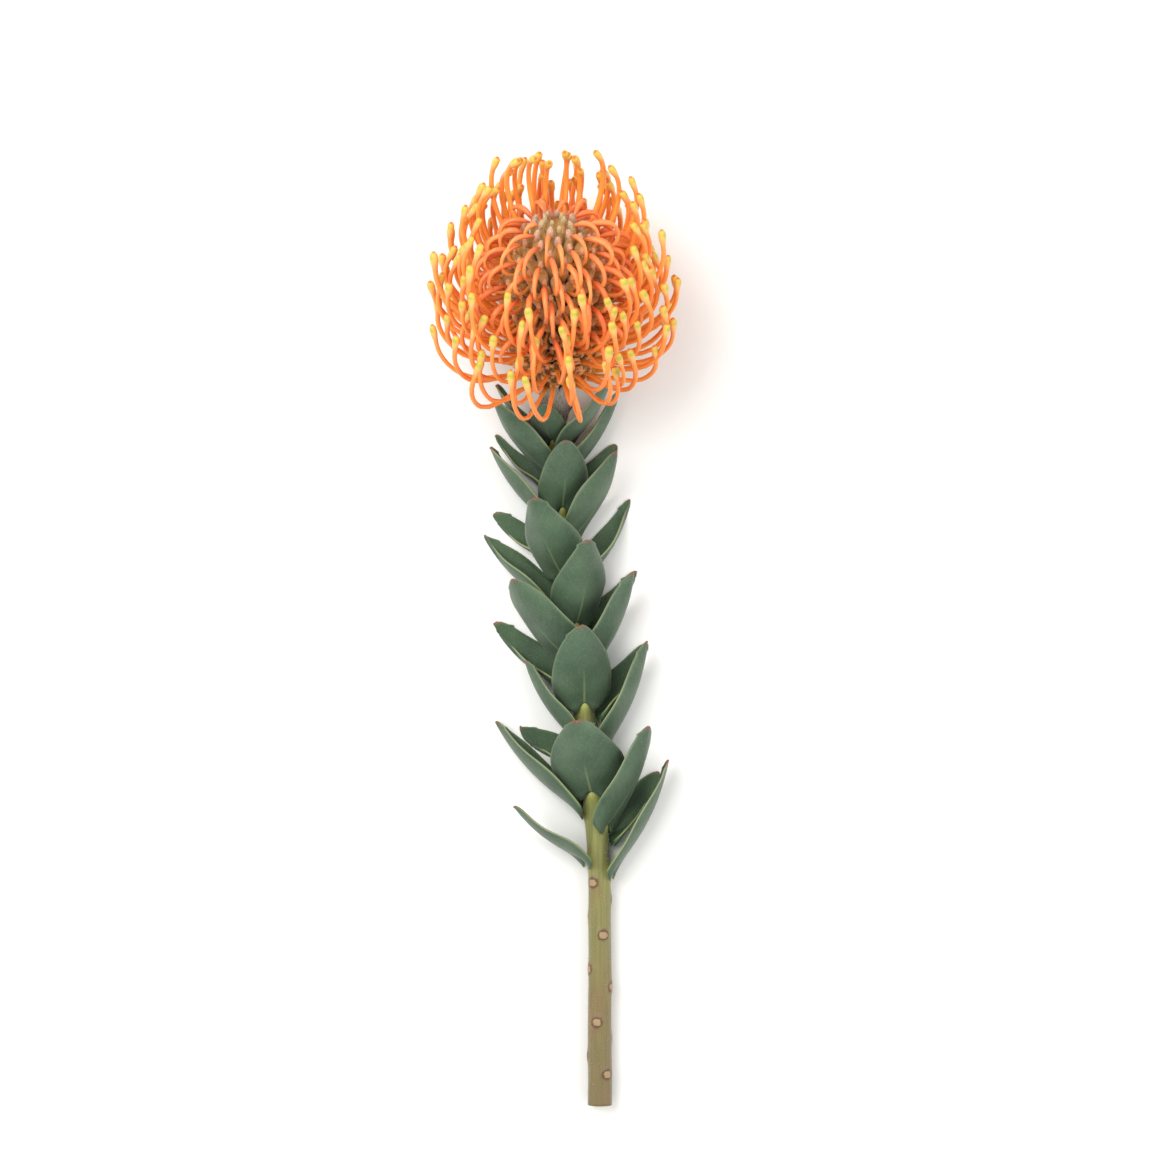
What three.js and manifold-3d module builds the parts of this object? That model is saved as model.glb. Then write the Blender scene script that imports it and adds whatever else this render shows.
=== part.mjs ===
// A cut stem of pincushion protea lying on a table: a leafy stem, the scaly cup under the bloom,
// and the bloom itself, a dense head of florets with long hooked styles.
// Millimetres, +Z up. The stem runs along +Y, and the bloom looks forward and up from the table.
import * as THREE from 'three';
import Module from 'manifold-3d';

const wasm = await Module();
wasm.setup();

const DEG = Math.PI / 180;

// Where the bloom's neck stands; the origin is under the middle of the whole flower.
const NECK = new THREE.Vector3(0.4, 121.4, 28);
const HEAD_TILT = 37 * DEG; // how far the bloom looks up from the table

// The stem, from its cut end to the cup under the bloom
const STEM_REACH = 345; // cut end to neck, along Y
const CUT_RADIUS = 5.8;
const TOP_RADIUS = 4.3;
const STEM_SIDES = 10;
const STEM_STEPS = 24;
const STEM_SWAY = 20.7; // sideways shift of the lower stem
const SWAY_START = 23; // distance below the neck where the shift begins
const SWAY_LENGTH = 230;
const STEM_RISE = 1.2; // how much higher the leafy part lies than the cut end

// The cup under the bloom
const CUP_LENGTH = 25;
const CUP_PROFILE = [[4.5, 0], [5.1, 5], [6.6, 13], [8.4, 20], [9.2, CUP_LENGTH]];
const CUP_SIDES = 12;
const BRACTS = 20;
const BRACT_LENGTH = 8.5;
const BRACT_WIDTH = 4.6;

// The head of florets
const FLORETS = 248;
const GOLDEN_ANGLE = 137.508 * DEG;
const LOWEST_ANGLE = 140 * DEG; // angle from the axis of the lowest ring of florets
const BED = { radius: 10, half: 32, centre: 26 }; // the knob that the florets grow on
const MASS = { radius: 28, half: 45, centre: 40 }; // the surface of the closed florets' ends
const CORE_SIDES = 26;
const CORE_ROWS = 13;
const CORE_SINK = 0.84; // the hollows between the florets, as a share of the surface's size
const CORE_BUMP = 0.96; // and their raised ends

// The styles
const STYLE_LENGTH = 69;
const STYLE_RADIUS = 0.95;
const STYLE_SIDES = 3;
const STYLE_STEPS = 24; // equal steps that every style is worked out in
const STYLE_STATIONS = [11, 15, 18, 20, 22, 23, 24]; // and one inside the head
const TIP_RADII = [1, 1.8, 0.7]; // the swollen end, over the last three stations
const LOOP_STEPS = 6;
const STYLE_LEVEL = 0.22; // the lowest that a style's middle lies above the table
const STYLE_EASE = 0.8;

// Leaf shapes
const LEAF_THICKNESS = 0.8;
const LEAF_ROWS = [0, 0.15, 0.45, 0.8, 1];
const LEAF_COLUMNS = [-1, -0.5, 0, 0.5, 1];
const LEAF_LEVEL = 0.38; // the lowest that the middle of a blade lies above the table
const LEAF_EASE = 1.2;
const GAP = 0.35;

// Every leaf: its foot's distance from the cut end, its side of the stem in degrees (0 right,
// 90 up, 180 left, 270 down), its length and width, and how far it spreads in degrees.
const LEAVES = [
  [112, 12, 60, 22, 30],
  [118, 158, 45, 21, 52],
  [127, 316, 48, 26, 52],
  [134, 34, 54, 25, 32],
  [141, 190, 60, 29, 40],
  [150, 98, 43, 35, 34],
  [162, 228, 46, 24, 62],
  [168, 12, 58, 26, 30],
  [176, 168, 44, 22, 26],
  [185, 316, 52, 27, 54],
  [192, 82, 44, 29, 32],
  [199, 216, 54, 28, 48],
  [207, 22, 52, 26, 34],
  [215, 140, 48, 33, 34],
  [221, 318, 50, 26, 54],
  [230, 66, 46, 28, 34],
  [238, 204, 52, 27, 42],
  [247, 338, 50, 25, 40],
  [254, 112, 44, 28, 34],
  [261, 222, 44, 24, 56],
  [270, 28, 48, 25, 36],
  [278, 168, 46, 24, 34],
  [285, 318, 44, 24, 50],
  [285, 76, 36, 24, 31],
  [295, 208, 38, 15, 46],
  [300, 6, 48, 21, 34],
  [302, 144, 46, 24, 41],
  [316, 33, 42, 23, 37],
  [314, 178, 38, 17, 37],
  [319, 110, 30, 18, 35],
];

// A number from 0 to 1 that is always the same for the same piece and purpose
function draw(index, purpose) {
  const value = Math.sin(index * 12.9898 + purpose * 78.233) * 43758.5453;
  return value - Math.floor(value);
}

const clamp01 = (value) => Math.min(Math.max(value, 0), 1);
const smooth = (value) => clamp01(value) ** 2 * (3 - 2 * clamp01(value));

// A height that nothing passes below: heights near the level are eased onto it.
function restOn(level, height, ease) {
  const knee = level + ease;
  return height > knee ? height : level + ease * Math.exp((height - knee) / ease);
}

// A closed body from rings of points with the same count, capped at both ends. With `quilted`
// the fold of each four-sided face alternates, so that every other point stands up as a pyramid.
function ringBody(rings, quilted = false) {
  const sides = rings[0].length;
  const vertices = rings.flat();
  const triangles = [];
  for (let row = 0; row < rings.length - 1; row += 1) {
    for (let side = 0; side < sides; side += 1) {
      const next = (side + 1) % sides;
      const a = row * sides + side;
      const b = row * sides + next;
      if (quilted && (row + side) % 2 === 1) {
        triangles.push([a, b, b + sides], [a, b + sides, a + sides]);
      } else {
        triangles.push([a, b, a + sides], [b, b + sides, a + sides]);
      }
    }
  }
  const top = (rings.length - 1) * sides;
  for (let side = 1; side < sides - 1; side += 1) {
    triangles.push([0, side + 1, side], [top, top + side, top + side + 1]);
  }
  return { vertices, triangles };
}

// A round body through a line of points with a radius at each; `across` is square to the line.
function sweep(points, radii, sides, across) {
  const last = points.length - 1;
  return ringBody(points.map((point, index) => {
    const before = points[Math.max(index - 1, 0)];
    const after = points[Math.min(index + 1, last)];
    const along = after.clone().sub(before).normalize();
    const first = across.clone().cross(along).normalize();
    const second = along.clone().cross(first);
    return Array.from({ length: sides }, (_, side) => {
      const turn = (side / sides) * 2 * Math.PI;
      return point.clone()
        .addScaledVector(first, radii[index] * Math.cos(turn))
        .addScaledVector(second, radii[index] * Math.sin(turn));
    });
  }));
}

function toSolid({ vertices, triangles }) {
  return new wasm.Manifold(new wasm.Mesh({
    numProp: 3,
    vertProperties: new Float32Array(vertices.flatMap((v) => [v.x, v.y, v.z])),
    triVerts: new Uint32Array(triangles.flat()),
  }));
}

function toGeometry({ vertices, triangles }) {
  const geometry = new THREE.BufferGeometry();
  geometry.setAttribute('position', new THREE.Float32BufferAttribute(
    vertices.flatMap((v) => [v.x, v.y, v.z]), 3));
  geometry.setIndex(triangles.flat());
  return geometry;
}

// Everything that grew together becomes one body; scraps and sealed pockets are dropped.
function grownTogether(bodies) {
  const whole = bodies.map(toSolid).reduce((sum, body) => sum.add(body));
  const pieces = whole.decompose().sort((a, b) => b.volume() - a.volume());
  const mesh = pieces[0].getMesh();
  const geometry = new THREE.BufferGeometry();
  geometry.setAttribute('position', new THREE.BufferAttribute(mesh.vertProperties, 3));
  geometry.setIndex(new THREE.BufferAttribute(mesh.triVerts, 1));
  return geometry;
}

function named(name, geometry, color, roughness) {
  geometry.computeVertexNormals();
  const material = new THREE.MeshStandardMaterial({ color, roughness, metalness: 0 });
  const mesh = new THREE.Mesh(geometry, material);
  mesh.name = name;
  return mesh;
}

const RIGHT = new THREE.Vector3(1, 0, 0);
const AXIS = new THREE.Vector3(0, Math.cos(HEAD_TILT), Math.sin(HEAD_TILT));
const HEAD_UP = new THREE.Vector3(0, -Math.sin(HEAD_TILT), Math.cos(HEAD_TILT));

// A point of the bloom from its distance off the axis, height above the neck and side
function headPoint(radius, height, around) {
  return NECK.clone()
    .addScaledVector(AXIS, height)
    .addScaledVector(RIGHT, radius * Math.cos(around))
    .addScaledVector(HEAD_UP, radius * Math.sin(around));
}

// The middle of the stem at a distance from the cut end, measured along Y
const CUT_Y = NECK.y - STEM_REACH;
const CUP_FOOT = headPoint(0, -CUP_LENGTH, 0);
const BEND_RADIUS = (CUP_FOOT.z - CUT_RADIUS - STEM_RISE) / (1 - Math.cos(HEAD_TILT));
const BEND_START = CUP_FOOT.y - BEND_RADIUS * Math.sin(HEAD_TILT);

function stemCentre(distance) {
  const y = CUT_Y + distance;
  const below = NECK.y - y - SWAY_START;
  const x = NECK.x + STEM_SWAY * smooth(below / SWAY_LENGTH);
  const lying = CUT_RADIUS + STEM_RISE * smooth((y - CUT_Y) / (BEND_START - CUT_Y));
  const turn = Math.max(y - BEND_START, 0);
  const rise = BEND_RADIUS - Math.sqrt(BEND_RADIUS ** 2 - turn ** 2);
  return new THREE.Vector3(x, y, lying + rise);
}

function stemRadius(distance) {
  return THREE.MathUtils.lerp(CUT_RADIUS, TOP_RADIUS, clamp01(distance / (STEM_REACH - 40)));
}

function buildStem() {
  const top = CUP_FOOT.y - CUT_Y;
  const points = Array.from({ length: STEM_STEPS + 1 }, (_, step) => {
    const share = step / STEM_STEPS;
    return stemCentre(top * (1 - (1 - share) ** 1.25));
  });
  points[STEM_STEPS] = headPoint(0, -CUP_LENGTH - GAP, 0);
  points.splice(STEM_STEPS, 0, headPoint(0, -CUP_LENGTH - 2, 0));
  const radii = points.map((point) => stemRadius(point.y - CUT_Y));
  const body = sweep(points, radii, STEM_SIDES, RIGHT);
  body.vertices.slice(0, STEM_SIDES).forEach((vertex) => {
    vertex.y = CUT_Y;
  });
  body.vertices.forEach((vertex) => {
    vertex.z = Math.max(vertex.z, 0);
  });
  return named('stem', toGeometry(body), 0x6f7f3c, 0.7);
}

// A leaf without a stalk: a broad cupped blade, narrowed to its foot and drawn to a short point.
function leafHalfWidth(share) {
  const foot = 0.28 * (1 - share) ** 6;
  return foot + Math.sin(Math.PI * share ** 0.75) ** 0.62 * (1 - 0.12 * share) + 0.04 * share;
}

function buildLeaf(row, index) {
  const [distance, side, length, width, spreadDegrees] = row;
  const around = side * DEG;
  const centre = stemCentre(distance);
  const forward = stemCentre(distance + 1).sub(stemCentre(distance - 1)).normalize();
  const beside = forward.clone().cross(new THREE.Vector3(0, 0, 1)).normalize();
  const above = beside.clone().cross(forward);
  const outward = beside.clone().multiplyScalar(Math.cos(around))
    .addScaledVector(above, Math.sin(around));
  const sideways = forward.clone().cross(outward);
  const foot = centre.addScaledVector(outward, stemRadius(distance) + GAP + LEAF_THICKNESS);
  const twist = (draw(index, 1) - 0.5) * 24 * DEG;
  const cup = 0.3 + 0.25 * draw(index, 2);
  const steps = 20;
  const step = length / steps;
  const place = foot.clone();
  const midrib = [];
  for (let count = 0; count <= steps; count += 1) {
    const share = count / steps;
    const spread = (spreadDegrees + 16 - 34 * share) * DEG;
    const along = forward.clone().multiplyScalar(Math.cos(spread))
      .addScaledVector(outward, Math.sin(spread));
    const inward = forward.clone().multiplyScalar(Math.sin(spread))
      .addScaledVector(outward, -Math.cos(spread));
    const turned = twist * share;
    const face = inward.clone().multiplyScalar(Math.cos(turned))
      .addScaledVector(sideways, Math.sin(turned));
    midrib.push({ point: place.clone(), face, edge: along.clone().cross(face) });
    place.addScaledVector(along, step);
  }
  const grid = LEAF_ROWS.map((share) => {
    const { point, face, edge } = midrib[Math.round(share * steps)];
    const half = leafHalfWidth(share) * width * 0.5;
    return LEAF_COLUMNS.map((column) => {
      const spot = point.clone()
        .addScaledVector(edge, column * half)
        .addScaledVector(face, cup * column ** 2 * half);
      spot.z = restOn(LEAF_LEVEL, spot.z, LEAF_EASE);
      return spot;
    });
  });
  return named(`leaf_${String(index + 1).padStart(2, '0')}`, bladeGeometry(grid), 0x4d6b52, 0.55);
}

// A blade of even thickness on a grid of points, split into triangles alike on both faces
function bladeGeometry(grid) {
  const rows = grid.length;
  const columns = grid[0].length;
  const normalAt = (row, column) => {
    const down = grid[Math.min(row + 1, rows - 1)][column].clone()
      .sub(grid[Math.max(row - 1, 0)][column]);
    const over = grid[row][Math.min(column + 1, columns - 1)].clone()
      .sub(grid[row][Math.max(column - 1, 0)]);
    return over.cross(down).normalize();
  };
  const shifted = (sign) => grid.flatMap((line, row) => line.map((spot, column) => {
    const moved = spot.clone().addScaledVector(normalAt(row, column), sign * LEAF_THICKNESS / 2);
    moved.z = Math.max(moved.z, 0);
    return moved;
  }));
  const vertices = [...shifted(1), ...shifted(-1)];
  const under = rows * columns;
  const triangles = [];
  for (let row = 0; row < rows - 1; row += 1) {
    for (let column = 0; column < columns - 1; column += 1) {
      const a = row * columns + column;
      const c = a + columns;
      triangles.push([a, a + 1, c + 1], [a, c + 1, c]);
      triangles.push([under + a, under + c + 1, under + a + 1], [under + a, under + c, under + c + 1]);
    }
  }
  const rim = [];
  for (let column = 0; column < columns - 1; column += 1) rim.push(column);
  for (let row = 0; row < rows - 1; row += 1) rim.push(row * columns + columns - 1);
  for (let column = columns - 1; column > 0; column -= 1) rim.push((rows - 1) * columns + column);
  for (let row = rows - 1; row > 0; row -= 1) rim.push(row * columns);
  rim.forEach((a, index) => {
    const b = rim[(index + 1) % rim.length];
    triangles.push([a, under + a, under + b], [a, under + b, b]);
  });
  return toGeometry({ vertices, triangles });
}

// A body turned round the bloom's axis from a profile of distances off the axis and heights
function turned(profile, foot, sides) {
  const rings = profile.map(([radius, height]) => Array.from({ length: sides }, (_, side) => {
    return headPoint(Math.max(radius, 0.4), foot + height, (-side / sides) * 2 * Math.PI);
  }));
  return ringBody(rings);
}

function buildCup() {
  const bodies = [turned(CUP_PROFILE, -CUP_LENGTH, CUP_SIDES)];
  for (let index = 0; index < BRACTS; index += 1) {
    const share = (index + 0.5) / BRACTS;
    const foot = 1.5 + share * (CUP_LENGTH - BRACT_LENGTH - 2);
    const around = index * GOLDEN_ANGLE;
    const radiusAt = (height) => {
      const upper = CUP_PROFILE.findIndex(([, top]) => top >= height);
      const [lowRadius, low] = CUP_PROFILE[Math.max(upper - 1, 0)];
      const [highRadius, high] = CUP_PROFILE[Math.max(upper, 1)];
      return lowRadius + ((highRadius - lowRadius) * (height - low)) / (high - low);
    };
    const points = [0, 0.45, 1].map((part) => {
      const height = foot + part * BRACT_LENGTH;
      return headPoint(radiusAt(height) - 0.5 + 0.9 * part, height - CUP_LENGTH, around);
    });
    const across = headPoint(1, 0, around + Math.PI / 2).sub(headPoint(0, 0, 0));
    const rings = points.map((point, row) => {
      const half = [0.35, 0.5, 0.12][row] * BRACT_WIDTH;
      const out = headPoint(1, 0, around).sub(headPoint(0, 0, 0));
      const thick = [0.9, 0.8, 0.35][row];
      return [
        point.clone().addScaledVector(across, half),
        point.clone().addScaledVector(out, thick),
        point.clone().addScaledVector(across, -half),
        point.clone().addScaledVector(out, -1.2),
      ];
    });
    bodies.push(ringBody(rings));
  }
  return named('involucre', grownTogether(bodies), 0x8d8163, 0.9);
}

// Where floret number `index` grows: counted from the oldest at the foot to the youngest on top
function floret(index) {
  const age = 1 - (index + 0.5) / FLORETS;
  const around = (index * GOLDEN_ANGLE) % (2 * Math.PI);
  const fromAxis = Math.acos(1 - age * (1 - Math.cos(LOWEST_ANGLE)));
  const root = { off: BED.radius * Math.sin(fromAxis), up: BED.centre + BED.half * Math.cos(fromAxis) };
  const end = { off: MASS.radius * Math.sin(fromAxis), up: MASS.centre + MASS.half * Math.cos(fromAxis) };
  const reach = Math.hypot(end.off - root.off, end.up - root.up);
  const lean = Math.atan2(end.off - root.off, end.up - root.up);
  const openAbove = 0.38 + 0.27 * Math.sin(around) + 0.1 * (draw(index, 3) - 0.5);
  const stage = age > openAbove ? 'open' : 'looped';
  const across = headPoint(1, 0, around + Math.PI / 2).sub(headPoint(0, 0, 0));
  return { index, age, around, across, root, reach, lean, stage: age < 0.02 ? 'bud' : stage };
}

// A point at a distance along a floret's own direction, off it away from the apex, and beside it
function floretPoint({ root, lean, around, across }, out, off, beside = 0) {
  const radius = root.off + out * Math.sin(lean) + off * Math.cos(lean);
  const height = root.up + out * Math.cos(lean) - off * Math.sin(lean);
  return headPoint(radius, height, around).addScaledVector(across, beside);
}

// The middle line of an open style: nearly straight, then hooked inward before its tip
function styleLine(flower) {
  const { index, age, around, root, lean } = flower;
  const length = STYLE_LENGTH + 10 * (draw(index, 4) - 0.5);
  const facing = Math.max(Math.sin(around), 0) * smooth((age - 0.6) / 0.4);
  const behind = Math.max(-Math.sin(around), 0);
  const tipLean = (-38 + 42 * age - 26 * facing - 14 * behind + 34 * (draw(index, 5) - 0.5)) * DEG;
  const start = lean + 8 * (draw(index, 6) - 0.5) * DEG;
  const sag = (4 + 8 * smooth((age - 0.6) / 0.4) + 18 * facing) * DEG;
  const swing = (3 + 18 * (draw(index, 7) - 0.5)) * DEG;
  const place = { off: root.off, up: root.up };
  const points = [];
  for (let count = 0; count <= STYLE_STEPS; count += 1) {
    const share = count / STYLE_STEPS;
    const point = headPoint(place.off, place.up, around + swing * share ** 2);
    point.z = restOn(STYLE_LEVEL, point.z, STYLE_EASE);
    points.push(point);
    const hook = clamp01((share - 0.22 - 0.1 * behind) / 0.62) ** 2.3;
    const angle = start + sag * Math.sin(Math.PI * clamp01(share / 0.6)) + (tipLean - start) * hook;
    place.off += (Math.sin(angle) * length) / STYLE_STEPS;
    place.up += (Math.cos(angle) * length) / STYLE_STEPS;
  }
  return points;
}

// The middle line of a style still held by its floret: out of the side, round and back to the end
function loopLine(flower) {
  const { index, age, reach } = flower;
  const size = (0.3 + 0.7 * smooth((age - 0.01) / 0.06)) * (0.8 + 0.45 * draw(index, 8));
  const beside = 12 * size * (draw(index, 9) - 0.5);
  const end = reach + 2;
  const start = 0.5 * reach;
  const controls = [
    floretPoint(flower, start, 0.5),
    floretPoint(flower, start + 5 * size, 24 * size, beside),
    floretPoint(flower, end + 12 * size, 13 * size, beside),
    floretPoint(flower, end, 0.5),
  ];
  const curve = new THREE.CubicBezierCurve3(...controls);
  return curve.getPoints(LOOP_STEPS).map((point) => {
    point.z = restOn(STYLE_LEVEL, point.z, STYLE_EASE);
    return point;
  });
}

// The packed florets: a body whose surface rises to a blunt end at every other point
function buildCore() {
  const rings = [];
  for (let row = 0; row <= CORE_ROWS; row += 1) {
    const fromAxis = LOWEST_ANGLE * (1 - row / CORE_ROWS);
    rings.push(Array.from({ length: CORE_SIDES }, (_, side) => {
      const size = (row + side) % 2 === 0 ? CORE_SINK : CORE_BUMP;
      const radius = Math.max(MASS.radius * size * Math.sin(fromAxis), 0.6);
      const height = MASS.centre + MASS.half * size * Math.cos(fromAxis);
      return headPoint(radius, height, (-side / CORE_SIDES) * 2 * Math.PI);
    }));
  }
  rings.unshift(rings[0].map((_, side) => (
    headPoint(CUP_PROFILE.at(-1)[0], GAP, (-side / CORE_SIDES) * 2 * Math.PI))));
  return ringBody(rings, true);
}

function buildHead() {
  const bodies = [buildCore()];
  for (let index = 0; index < FLORETS; index += 2) {
    const flower = floret(index);
    const { across, reach } = flower;
    if (flower.stage === 'open') {
      const line = styleLine(flower);
      const points = [Math.floor(0.19 * reach), ...STYLE_STATIONS].map((station) => line[station]);
      const plain = points.length - TIP_RADII.length;
      const radii = points.map((_, station) => (
        station < plain ? STYLE_RADIUS : TIP_RADII[station - plain]));
      bodies.push(sweep(points, radii, STYLE_SIDES, across));
    } else {
      if (flower.stage === 'looped') {
        const line = loopLine(flower);
        bodies.push(sweep(line, line.map(() => STYLE_RADIUS), STYLE_SIDES, across));
      }
      const club = [reach - 7, reach + 1, reach + 4].map((out) => floretPoint(flower, out, 0));
      bodies.push(sweep(club, [1.7, 2.3, 1], 3, across));
    }
  }
  bodies.forEach(({ vertices }) => vertices.forEach((vertex) => {
    vertex.z = Math.max(vertex.z, 0);
  }));
  return named('flower_head', grownTogether(bodies), 0xf07a3c, 0.5);
}

const flower = new THREE.Group();
flower.add(buildStem(), ...LEAVES.map(buildLeaf), buildCup(), buildHead());

export default flower;
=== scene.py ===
from math import acos, atan2, cos, degrees, exp, hypot, pi, radians, sin, sqrt

import bmesh
import bpy
import numpy as np
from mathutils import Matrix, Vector


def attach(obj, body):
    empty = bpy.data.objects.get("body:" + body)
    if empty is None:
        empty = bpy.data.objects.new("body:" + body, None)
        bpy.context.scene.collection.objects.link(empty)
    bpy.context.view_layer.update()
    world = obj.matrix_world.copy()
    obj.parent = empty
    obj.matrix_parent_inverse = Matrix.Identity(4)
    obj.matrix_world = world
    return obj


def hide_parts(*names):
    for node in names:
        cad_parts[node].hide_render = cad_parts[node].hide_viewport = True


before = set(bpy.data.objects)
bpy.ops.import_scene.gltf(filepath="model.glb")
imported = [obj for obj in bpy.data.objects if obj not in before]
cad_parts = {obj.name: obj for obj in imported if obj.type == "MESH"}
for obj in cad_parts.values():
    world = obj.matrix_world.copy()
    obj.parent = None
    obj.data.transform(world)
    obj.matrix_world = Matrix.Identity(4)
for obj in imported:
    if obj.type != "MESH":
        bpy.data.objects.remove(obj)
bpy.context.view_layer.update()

# The camera looks straight down on the lying flower, as the photograph looks straight at it where
# it stood, from about a metre and a half. Up in the picture is along the stem, to the bloom.
MM = 0.001
NECK = Vector((0.4, 121.4, 28)) * MM  # where the bloom stands on its cup
PHOTO_SIDE = 1168  # pixels
NECK_PIXEL = (556, 378)
PIXEL = 0.47 * MM  # of the flower, at the height of its neck
VIEW_DISTANCE = 1.55


def placed(name, data):
    """A new object in the scene."""
    thing = bpy.data.objects.new(name, data)
    bpy.context.scene.collection.objects.link(thing)
    return thing


lens = bpy.data.cameras.new("camera")
lens.sensor_width = 36
lens.lens = lens.sensor_width * VIEW_DISTANCE / (PHOTO_SIDE * PIXEL)
camera = placed("camera", lens)
camera.location = NECK + Vector((
    (PHOTO_SIDE / 2 - NECK_PIXEL[0]) * PIXEL,
    (NECK_PIXEL[1] - PHOTO_SIDE / 2) * PIXEL,
    VIEW_DISTANCE,
))
bpy.context.scene.camera = camera

# A pale table top under soft studio light: one broad lamp from the upper left, a weaker one from
# the right, and an even white surround.
FLOOR_SIZE = 4.0
SURROUND_STRENGTH = 0.8
WHITE = (255, 255, 255)
SHADER = "Principled BSDF"


def tint(red, green, blue):
    """A colour given as it looks on a screen, 0 to 255, as the shaders need it."""
    shares = (value / 255 for value in (red, green, blue))
    return (*(s / 12.92 if s < 0.04045 else ((s + 0.055) / 1.055) ** 2.4 for s in shares), 1.0)


def finish(name, roughness, specular=0.5, sheen=0.0):
    """A new material with its constant numbers set, and its tree."""
    material = bpy.data.materials.new(name)
    material.use_nodes = True
    shader = material.node_tree.nodes[SHADER]
    shader.inputs["Roughness"].default_value = roughness
    shader.inputs["Specular IOR Level"].default_value = specular
    shader.inputs["Sheen Weight"].default_value = sheen
    return material, material.node_tree


def mesh_of(name, form):
    """A mesh from a bmesh, which isn't needed any more."""
    mesh = bpy.data.meshes.new(name)
    form.to_mesh(mesh)
    form.free()
    return mesh


def made(name, form, *materials):
    """Turns a finished bmesh into a smooth-shaded object with its materials."""
    mesh = mesh_of(name, form)
    mesh.shade_smooth()
    for material in materials:
        mesh.materials.append(material)
    return placed(name, mesh)


def lamp(name, size, power, place):
    """A square lamp, its size in metres and its power in watts, that shines at the object."""
    light = bpy.data.lights.new(name, "AREA")
    light.size = size
    light.energy = power
    holder = placed(name, light)
    holder.location = place
    holder.rotation_euler = (-Vector(place)).to_track_quat("-Z", "Y").to_euler()


floor_paint, tree = finish("pale_table_top", 0.6)
tree.nodes[SHADER].inputs["Base Color"].default_value = tint(240, 239, 236)
form = bmesh.new()
bmesh.ops.create_grid(form, x_segments=1, y_segments=1, size=FLOOR_SIZE / 2)
floor = made("floor", form, floor_paint)

lamp("broad_lamp", size=1.0, power=18.0, place=(-0.7, 0.5, 1.3))
lamp("weak_lamp", size=0.8, power=5.0, place=(0.9, 0.0, 0.9))
surround = bpy.data.worlds.new("white_surround")
surround.use_nodes = True
glow = surround.node_tree.nodes["Background"]
glow.inputs["Color"].default_value = tint(*WHITE)
glow.inputs["Strength"].default_value = SURROUND_STRENGTH
bpy.context.scene.world = surround
bpy.context.scene.view_settings.view_transform = "Standard"

# The stem is one woody shoot, cut square at its foot: brownish and scarred where old leaves fell,
# fresh yellow-green and a little thicker under each living leaf. It grew, so nothing is fixed.
STEM_REACH = 345 * MM  # cut end to neck, along Y
CUT_RADIUS = 5.8 * MM
TOP_RADIUS = 4.3 * MM
UNTAPERED = 40 * MM  # the last stretch, which stays as thin as the top
STEM_SWAY = 20.7 * MM  # sideways shift of the lower stem
SWAY_START = 23 * MM
SWAY_LENGTH = 230 * MM
STEM_RISE = 1.2 * MM
CUP_LENGTH = 25 * MM
HEAD_TILT = radians(37)  # how far the bloom looks up from the table
STEM_SIDES = 28
STEM_STEPS = 260
FLUTES = {"count": 3, "height": 0.12 * MM, "twist": 40}  # soft waves that wind round the stem
CUSHION = {"height": 1.3 * MM, "length": 3.2 * MM, "below": 1.6 * MM, "narrowness": 5}
OLD_SCARS = 13
SCAR_SPACING = 8.3 * MM
SCAR_STRENGTH = 0.55  # how high a scar stands, against a living leaf's cushion
GOLDEN_ANGLE = radians(137.508)
BLACK = (0, 0, 0)
RIGHT = Vector((1, 0, 0))
UP = Vector((0, 0, 1))
AXIS = Vector((0, cos(HEAD_TILT), sin(HEAD_TILT)))
HEAD_UP = Vector((0, -sin(HEAD_TILT), cos(HEAD_TILT)))

# Every leaf: its foot's distance from the cut end, its side of the stem in degrees (0 right,
# 90 up, 180 left, 270 down), its length and width in millimetres, and its spread in degrees.
LEAVES = [
    (112, 12, 60, 22, 30),
    (118, 158, 45, 21, 52),
    (127, 316, 48, 26, 52),
    (134, 34, 54, 25, 32),
    (141, 190, 60, 29, 40),
    (150, 98, 43, 35, 34),
    (162, 228, 46, 24, 62),
    (168, 12, 58, 26, 30),
    (176, 168, 44, 22, 26),
    (185, 316, 52, 27, 54),
    (192, 82, 44, 29, 32),
    (199, 216, 54, 28, 48),
    (207, 22, 52, 26, 34),
    (215, 140, 48, 33, 34),
    (221, 318, 50, 26, 54),
    (230, 66, 46, 28, 34),
    (238, 204, 52, 27, 42),
    (247, 338, 50, 25, 40),
    (254, 112, 44, 28, 34),
    (261, 222, 44, 24, 56),
    (270, 28, 48, 25, 36),
    (278, 168, 46, 24, 34),
    (285, 318, 44, 24, 50),
    (285, 76, 36, 24, 31),
    (295, 208, 38, 15, 46),
    (300, 6, 48, 21, 34),
    (302, 144, 46, 24, 41),
    (316, 33, 42, 23, 37),
    (314, 178, 38, 17, 37),
    (319, 110, 30, 18, 35),
]


def share_of(value):
    """The value, kept from 0 to 1."""
    return min(max(value, 0.0), 1.0)


def smooth(value):
    """A soft step: 0 below 0, 1 above 1."""
    return share_of(value) ** 2 * (3 - 2 * share_of(value))


def draw(index, purpose):
    """A number from 0 to 1 that is always the same for the same piece and purpose."""
    return sin(index * 12.9898 + purpose * 78.233) * 43758.5453 % 1


def rest_on(level, height, ease):
    """A height that nothing passes below: heights near the level are eased onto it."""
    knee = level + ease
    return height if height > knee else level + ease * exp((height - knee) / ease)


def on_table(point):
    """The point, lifted onto the table if it is below it."""
    return Vector((point.x, point.y, max(point.z, 0)))


def head_point(radius, height, around):
    """A point of the bloom from its distance off the axis, height above the neck and side."""
    sideways = RIGHT * cos(around) + HEAD_UP * sin(around)
    return NECK + AXIS * height + sideways * radius


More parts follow.
